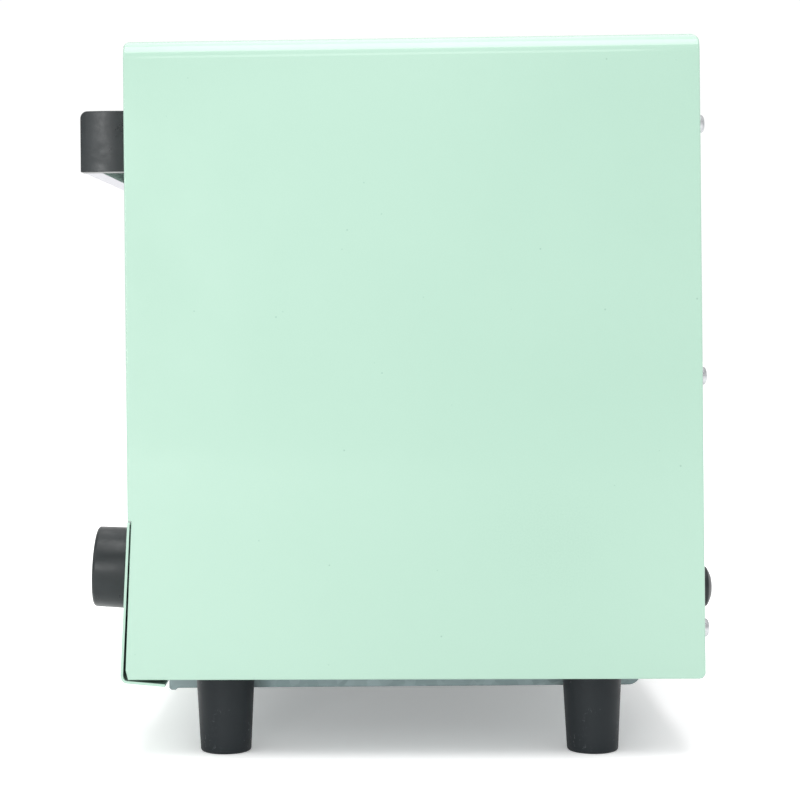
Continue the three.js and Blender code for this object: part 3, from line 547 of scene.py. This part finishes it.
def foot_finished(node):
    """A tapered foot, hollow underneath up to the seat of its screw's head."""
    low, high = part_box(node)
    height = (high.z - low.z) / MM
    top = (high.x - low.x) / 2 / MM
    screw = node.replace("foot_", "foot_screw_")
    seat = (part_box(screw)[0].z - low.z) / MM + FOOT_SCREW_HEAD + 0.2
    profile = [
        (0, seat), (FOOT_WELL, seat), (FOOT_WELL, 0.3), (FOOT_WELL + 0.4, 0), (top - FOOT_TAPER, 0),
        (top, height), (0, height),
    ]
    outline = rounded(profile, {4: 1.3, 5: 0.4}, 6)
    piece = piece_from(lathe(scaled(outline), 96), node + "_finished", ["black_foot"], 40)
    piece.matrix_world = Matrix.Translation((middle(node).x, middle(node).y, low.z))
    stands_for(piece, node)


def feet():
    for node in nodes_named("foot_"):
        if "screw" not in node:
            foot_finished(node)


def cross_recess(width, arm, depth, top):
    """Two crossed bars sunk into a screw's head, for carving."""
    cutters = []
    for long_x, long_y in ((arm, width), (width, arm)):
        mesh = box_mesh((-long_x, -long_y, top - depth), (long_x, long_y, top + depth))
        cutters.append(piece_from(mesh, "recess", ["zinc_steel"]))
    return cutters


def screw_finished(node, profile, head, place, out, up, spin):
    """A turned screw with a cross recess; its heights run out from the face that the head bears on."""
    piece = piece_from(lathe(scaled(profile), 48), node + "_finished", ["zinc_steel"], 40)
    carve(piece, cross_recess(0.45 * MM, 2.1 * MM, 1.5 * MM, head * MM))
    crease(piece, 35)
    turned = Matrix.Rotation(math.radians(spin * (1 + sorted(frame["nodes"]).index(node))), 4, "Z")
    piece.matrix_world = standing(place, out, up) @ turned
    stands_for(piece, node)


REAR_SCREW_HEAD = 2.8
REAR_SCREW_PROFILE = [
    (0, -10), (1.7, -10), (1.7, 0.3), (3.75, 0.3), (3.75, 1.3), (3.55, 1.9), (3.1, 2.35), (2.4, 2.65),
    (1.3, 2.78), (0, REAR_SCREW_HEAD),
]


def rear_screws():
    for node in nodes_named("rear_screw_"):
        centre = middle(node)
        face = Vector((centre.x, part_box(node)[1].y - REAR_SCREW_HEAD * MM, centre.z))
        screw_finished(node, REAR_SCREW_PROFILE, REAR_SCREW_HEAD, face, (0, 1, 0), (0, 0, 1), 37)


def foot_screws():
    head = FOOT_SCREW_HEAD
    profile = [
        (0, -17), (2, -17), (2, 0), (4.2, 0), (4.2, head - 1.2), (3.9, head - 0.6), (3.1, head - 0.15),
        (1.6, head), (0, head),
    ]
    for node in nodes_named("foot_screw_"):
        centre = middle(node)
        face = Vector((centre.x, centre.y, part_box(node)[0].z + head * MM))
        screw_finished(node, profile, head, face, (0, 0, -1), (0, 1, 0), 53)


GLAND_BORE = 3.75
GLAND_NUT = {"radius": 8, "end": 7.4}
GLAND_NECK = {"radius": 5.8, "end": 8.8}
GLAND_CAP = 8.3
GLAND_DOME = 14.7
DOME_STEPS = 10


def cord_gland():
    """Nut inside, neck through the panel, and outside a cap that ends in a shallow dome round the bore."""
    low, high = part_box("cord_gland")
    crown = (high.y - low.y) / MM - 0.2
    nut, neck = GLAND_NUT, GLAND_NECK
    profile = [
        (GLAND_BORE, 0), (nut["radius"], 0), (nut["radius"], nut["end"]), (neck["radius"], nut["end"]),
        (neck["radius"], neck["end"]), (GLAND_CAP, neck["end"]),
    ]
    for step in range(DOME_STEPS + 1):
        radius = GLAND_CAP + (GLAND_BORE - GLAND_CAP) * step / DOME_STEPS
        profile.append((radius, crown - GLAND_DOME + math.sqrt(GLAND_DOME ** 2 - radius ** 2)))
    rim = len(profile) - 1
    profile.append((GLAND_BORE, 0))
    outline = rounded(profile, {5: 0.3, 6: 1.0, rim: 0.2}, 4)
    piece = piece_from(lathe(scaled(outline), 72), "cord_gland_finished", ["black_plastic"], 35)
    place = Vector((middle("cord_gland").x, low.y, middle("cord_gland").z))
    piece.matrix_world = standing(place, (0, 1, 0), (0, 0, 1))
    stands_for(piece, "cord_gland")


# ------------------------------------------------------------------ controls

def knob_frame(joint):
    """Stands on the panel's face under a knob: Z out along the shaft, Y up the panel."""
    out = -Vector(JOINTS[joint]["axis"])
    return standing(Vector(JOINTS[joint]["pos_m"]), out, (0, 0, 1))


KNOB_REAR = 2.5
KNOB_FRONT = 17.0
KNOB_RADIUS = 17.0
SHAFT_BORE = {"radius": 3.3, "depth": 9}
POINTER_SLOT = {"half": 0.9, "start": 5, "end": 20, "floor": KNOB_FRONT - 1.2}
POINTER = {"half": 0.8, "start": 5.1, "end": 16.2, "top": KNOB_FRONT - 0.55}


def knob(node, joint, body):
    """A knob with a slightly dished face, and the pale pointer let into it."""
    bore, depth = SHAFT_BORE["radius"], SHAFT_BORE["depth"]
    profile = [
        (0, KNOB_REAR + depth), (bore, KNOB_REAR + depth), (bore, KNOB_REAR), (KNOB_RADIUS - 0.2, KNOB_REAR),
        (KNOB_RADIUS - 0.1, KNOB_REAR + 1), (KNOB_RADIUS - 0.3, KNOB_FRONT), (KNOB_RADIUS - 2.4, KNOB_FRONT),
        (KNOB_RADIUS - 2.9, KNOB_FRONT - 0.45), (0, KNOB_FRONT - 0.6),
    ]
    outline = rounded(profile, {3: 0.5, 5: 1.5, 6: 0.4, 7: 0.4}, 6)
    piece = piece_from(lathe(scaled(outline), 128), node + "_finished", ["black_plastic"], 40)
    slot, inlay = POINTER_SLOT, POINTER
    cutter = box_mesh(
        (-slot["half"] * MM, slot["start"] * MM, slot["floor"] * MM),
        (slot["half"] * MM, slot["end"] * MM, (KNOB_FRONT + 1) * MM),
    )
    carve(piece, [piece_from(cutter, "slot", ["black_plastic"])])
    crease(piece, 35)
    piece.matrix_world = knob_frame(joint)
    stands_for(piece, node)
    bar = box_mesh(
        (-inlay["half"] * MM, inlay["start"] * MM, slot["floor"] * MM),
        (inlay["half"] * MM, inlay["end"] * MM, inlay["top"] * MM),
    )
    pointer = rolled(piece_from(bar, node + "_pointer", ["pointer_inlay"]), 0.2 * MM)
    pointer.matrix_world = knob_frame(joint)
    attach(pointer, body)


def joined(meshes):
    """One bmesh holding all the meshes."""
    whole = bmesh.new()
    for mesh in meshes:
        data = bpy.data.meshes.new("part")
        mesh.to_mesh(data)
        mesh.free()
        whole.from_mesh(data)
        bpy.data.meshes.remove(data)
    return whole


def mesh_of_curve(name, curve):
    """The surface that a curve makes, as a bmesh; the curve is used up."""
    holder = linked(name, curve)
    bpy.context.view_layer.update()
    data = bpy.data.meshes.new_from_object(holder.evaluated_get(bpy.context.evaluated_depsgraph_get()))
    mesh = bmesh.new()
    mesh.from_mesh(data)
    bpy.data.objects.remove(holder)
    bpy.data.curves.remove(curve)
    bpy.data.meshes.remove(data)
    return mesh


# The dials' print, in metres: ticks start at the ring, figures stand at their reach.
DIAL_RING = 18.8 * MM
LONG_TICK = 1.8 * MM
SHORT_TICK = 1.1 * MM
TICK_HALF = 0.2 * MM
TICK_BACK = 0.01 * MM
TICK_FACE = 0.05 * MM
FIGURE_REACH = 25 * MM
FIGURE_SIZE = 4.2 * MM
FIGURE_LIFT = 0.03 * MM
FIGURE_HALF_DEPTH = 0.02 * MM
DIAL_TICKS = 12


def numeral(text, place):
    """Flat raised figures centred at a place on the panel, as a bmesh."""
    curve = bpy.data.curves.new("numeral", "FONT")
    curve.body = text
    curve.size = FIGURE_SIZE
    curve.align_x = "CENTER"
    curve.align_y = "CENTER"
    curve.extrude = FIGURE_HALF_DEPTH
    curve.resolution_u = 4
    mesh = mesh_of_curve("numeral", curve)
    bmesh.ops.translate(mesh, verts=mesh.verts, vec=(*place, FIGURE_LIFT))
    return mesh


def dial(name, joint, sweep, figures):
    """Ticks and plain numbers around a knob. It starts straight up, without a figure, and runs clockwise."""
    meshes = []
    for k in range(DIAL_TICKS + 1):
        angle = -math.radians(sweep) * k / DIAL_TICKS
        length = LONG_TICK if k % 2 == 0 else SHORT_TICK
        mesh = box_mesh((-TICK_HALF, DIAL_RING, TICK_BACK), (TICK_HALF, DIAL_RING + length, TICK_FACE))
        bmesh.ops.rotate(mesh, verts=mesh.verts, matrix=Matrix.Rotation(angle, 3, "Z"))
        meshes.append(mesh)
    for k, text in enumerate(figures, 1):
        angle = math.radians(90) - math.radians(sweep) * k / len(figures)
        meshes.append(numeral(text, (FIGURE_REACH * math.cos(angle), FIGURE_REACH * math.sin(angle))))
    print_layer = piece_from(joined(meshes), name, ["dial_print"])
    print_layer.matrix_world = knob_frame(joint)
    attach(print_layer, "housing")


def indicator_lens():
    """A domed lens with a flange, and its barrel behind the panel."""
    profile = [
        (0, 3.3), (2.4, 3.1), (4.2, 2.3), (4.5, 1.5), (5.6, 1.3), (5.6, 0.3), (4, 0.3), (4, -16), (0, -16),
    ]
    outline = rounded(profile, {1: 1.0, 2: 0.5, 4: 0.3}, 5)
    piece = piece_from(lathe(scaled(outline), 64), "indicator_lens_finished", ["amber_lens"], 35)
    piece.matrix_world = knob_frame("timer_knob_turn")
    piece.matrix_world.translation.x = 0
    stands_for(piece, "indicator_lens")


def controls():
    knob("temperature_knob", "temperature_knob_turn", "temperature_knob")
    knob("timer_knob", "timer_knob_turn", "timer_knob")
    dial("temperature_dial", "temperature_knob_turn", 270, ["100", "150", "200", "250"])
    dial("timer_dial", "timer_knob_turn", 300, ["15", "30", "45", "60"])
    for node in ("thermostat_shaft", "timer_shaft"):
        refined(node, "zinc_steel", 0.1 * MM, 2, 40)
    for node in ("thermostat", "timer", "terminal_block"):
        refined(node, "pale_plastic", 0.5 * MM, 3, 40)
    indicator_lens()


# ------------------------------------------------------------------ heating and inside

HEATER_TUBE = 4
HEATER_CAP = 5.2
HEATER_TUBE_HALF = 135.1


def heater(node):
    """A quartz tube with a ceramic cap on each end."""
    low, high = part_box(node)
    half = (high.x - low.x) / 2 / MM
    start = HEATER_TUBE_HALF
    profile = [
        (0, -half), (HEATER_CAP, -half), (HEATER_CAP, -start), (HEATER_TUBE, -start),
        (HEATER_TUBE, start), (HEATER_CAP, start), (HEATER_CAP, half), (0, half),
    ]
    outline = rounded(profile, {1: 0.8, 2: 0.4, 5: 0.4, 6: 0.8}, 4)

    def on_tube(point):
        return abs(point[1]) <= start and abs(point[0] - HEATER_TUBE) < 0.01

    tube = [band for band, ends in enumerate(zip(outline, outline[1:])) if all(map(on_tube, ends))]
    mesh = lathe(scaled(outline), 40, lambda band: 0 if band in tube else 1)
    piece = piece_from(mesh, node + "_finished", ["frosted_quartz", "ceramic_end"], 40)
    piece.data.transform(Matrix.Rotation(math.pi / 2, 4, "Y"))
    piece.matrix_world = Matrix.Translation(middle(node))
    stands_for(piece, node)


def heaters():
    for node in nodes_named("heater_"):
        heater(node)


def leads():
    for node in nodes_named("lead_"):
        refined(node, "glass_fibre_sleeve", 0, 0, 50)


def rod_between(start, end, radius, sides=20):
    """A closed round rod with softly rounded ends, as a bmesh."""
    length = (end - start).length
    soft = radius * 0.3
    profile = rounded([(0, 0), (radius, 0), (radius, length), (0, length)], {1: soft, 2: soft}, 3)
    mesh = lathe(profile, sides)
    turn = (end - start).to_track_quat("Z", "Y").to_matrix().to_4x4()
    bmesh.ops.transform(mesh, matrix=Matrix.Translation(start) @ turn, verts=mesh.verts)
    return mesh


RIM_WIRE = 1.8 * MM
GRILLE_WIRE = 1.2 * MM
RIM_CORNER = 5 * MM
CORNER_STEPS = 6
GRILLE_WIRES = 9


def rack_rim(x0, x1, y0, y1, z):
    """The rack's outer wire, bent round at the corners, as a bmesh."""
    points = []
    for cx, cy, start in ((x1, y1, 0), (x0, y1, 90), (x0, y0, 180), (x1, y0, 270)):
        centre_x = cx - math.copysign(RIM_CORNER, cx)
        centre_y = cy - (RIM_CORNER if cy == y1 else -RIM_CORNER)
        for k in range(CORNER_STEPS + 1):
            angle = math.radians(start + 90 * k / CORNER_STEPS)
            x = centre_x + RIM_CORNER * math.cos(angle)
            y = centre_y + RIM_CORNER * math.sin(angle)
            points.append((x, y, z))
    path = bpy.data.curves.new("rim_path", "CURVE")
    path.dimensions = "3D"
    path.bevel_depth = RIM_WIRE
    path.bevel_resolution = 5
    spline = path.splines.new("POLY")
    spline.points.add(len(points) - 1)
    for point, place in zip(spline.points, points):
        point.co = (*place, 1)
    spline.use_cyclic_u = True
    return mesh_of_curve("rim", path)


def wire_rack():
    """Round wires that run from front to back inside a frame with bent corners."""
    low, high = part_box("wire_rack")
    x0, x1 = low.x + RIM_WIRE, high.x - RIM_WIRE
    y0, y1 = low.y + RIM_WIRE, high.y - RIM_WIRE
    meshes = [rack_rim(x0, x1, y0, y1, high.z - RIM_WIRE)]
    z = high.z - GRILLE_WIRE
    for k in range(1, GRILLE_WIRES + 1):
        x = x0 + (x1 - x0) * k / (GRILLE_WIRES + 1)
        meshes.append(rod_between(Vector((x, y0, z)), Vector((x, y1, z)), GRILLE_WIRE))
    piece = piece_from(joined(meshes), "wire_rack_finished", ["chrome_wire"], 50)
    stands_for(piece, "wire_rack")


# ------------------------------------------------------------------ door

def door():
    refined("door_frame", "mint_paint", 0.45 * MM, 3)
    refined("door_glass", "window_glass", 0.4 * MM, 2)
    refined("handle_bar", "satin_steel", 0.3 * MM, 3)
    for side in ("left", "right"):
        refined(f"handle_post_{side}", "black_plastic", 0.4 * MM, 3, 35)
        refined(f"handle_screw_{side}", "zinc_steel", 0.15 * MM, 2, 40)
        refined(f"hinge_pin_{side}", "zinc_steel", 0.15 * MM, 2, 40)


def baking_tray():
    refined("baking_tray", "dark_enamel", 0.3 * MM, 3)


# ------------------------------------------------------------------ stage, light and camera

# Each softbox: name, place, target, width, height, power in watts.
SOFTBOXES = [
    ("overhead", (0.8, 0.0, 1.8), (0.8, 0.001, 0.25), 1.25, 0.9, 18),
    ("ceiling", (-0.55, 0.0, 1.8), (-0.55, 0.001, 0.25), 1.35, 0.9, 7),
    ("rim", (2.1, 0.0, 1.0), (0.15, 0.0, 0.28), 0.7, 0.4, 2.2),
    ("key", (1.1, -1.3, 1.3), (0, 0, 0.15), 0.8, 0.6, 6),
    ("side", (2.25, -0.605, 0.33), (0.1, -0.1, 0.25), 0.32, 0.5, 8.5),
]
FLOOR_HALF = 6
FLOOR_GLOW = 0.25
WORLD_LIGHT = 1.03


def softbox(name, place, target, width, height, power):
    light = bpy.data.lights.new(name, "AREA")
    light.shape = "RECTANGLE"
    light.size = width
    light.size_y = height
    light.energy = power
    lamp = linked(name, light)
    lamp.location = place
    lamp.rotation_euler = (Vector(target) - Vector(place)).to_track_quat("-Z", "Y").to_euler()


def floor():
    """A pale floor that glows a little, which keeps the shadow under the oven light."""
    white = (1.0, 1.0, 1.0, 1.0)
    finish = Finish("floor_finish", Emission_Color=white, Emission_Strength=FLOOR_GLOW)
    finish.colour(finish.noise(3, 2), (0.93, 0.93, 0.93), (0.95, 0.95, 0.95))
    finish.roughness(finish.noise(8, 2), 0.75, 0.85)
    mesh = bmesh.new()
    bmesh.ops.create_grid(mesh, x_segments=1, y_segments=1, size=FLOOR_HALF)
    data = bpy.data.meshes.new("floor")
    mesh.to_mesh(data)
    mesh.free()
    data.materials.append(finish.material)
    linked("floor", data)


def studio():
    world = bpy.data.worlds.new("studio")
    bpy.context.scene.world = world
    world.use_nodes = True
    background = world.node_tree.nodes["Background"]
    background.inputs["Color"].default_value = (1.0, 1.0, 1.0, 1.0)
    background.inputs["Strength"].default_value = WORLD_LIGHT
    floor()
    for row in SOFTBOXES:
        softbox(*row)


CAMERA_YAW = math.radians(-2.4)
CAMERA_ROLL = math.radians(-0.56)
CAMERA_DISTANCE = 0.850
CAMERA_BEHIND = 0.12325
CAMERA_HEIGHT = 0.1814
LENS = 95.75
SENSOR = 36
SHIFT = (0.1222, -0.1127)


def camera():
    """Faces the oven's right side from just behind square; the shifts keep the case in the picture."""
    data = bpy.data.cameras.new("camera")
    data.sensor_width = SENSOR
    data.lens = LENS
    data.shift_x, data.shift_y = SHIFT
    data.clip_start = 0.01
    seat = linked("camera", data)
    aim = Vector((-1, math.tan(CAMERA_YAW), 0)).to_track_quat("-Z", "Y").to_matrix().to_4x4()
    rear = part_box("outer_wrapper")[1]
    place = (rear.x + CAMERA_DISTANCE, rear.y - CAMERA_BEHIND, CAMERA_HEIGHT)
    seat.matrix_world = Matrix.Translation(place) @ aim @ Matrix.Rotation(CAMERA_ROLL, 4, "Z")
    bpy.context.scene.camera = seat
    bpy.context.scene.view_settings.view_transform = "Standard"


sheet_metal()
feet()
rear_screws()
foot_screws()
cord_gland()
controls()
heaters()
leads()
wire_rack()
baking_tray()
door()
studio()
camera()
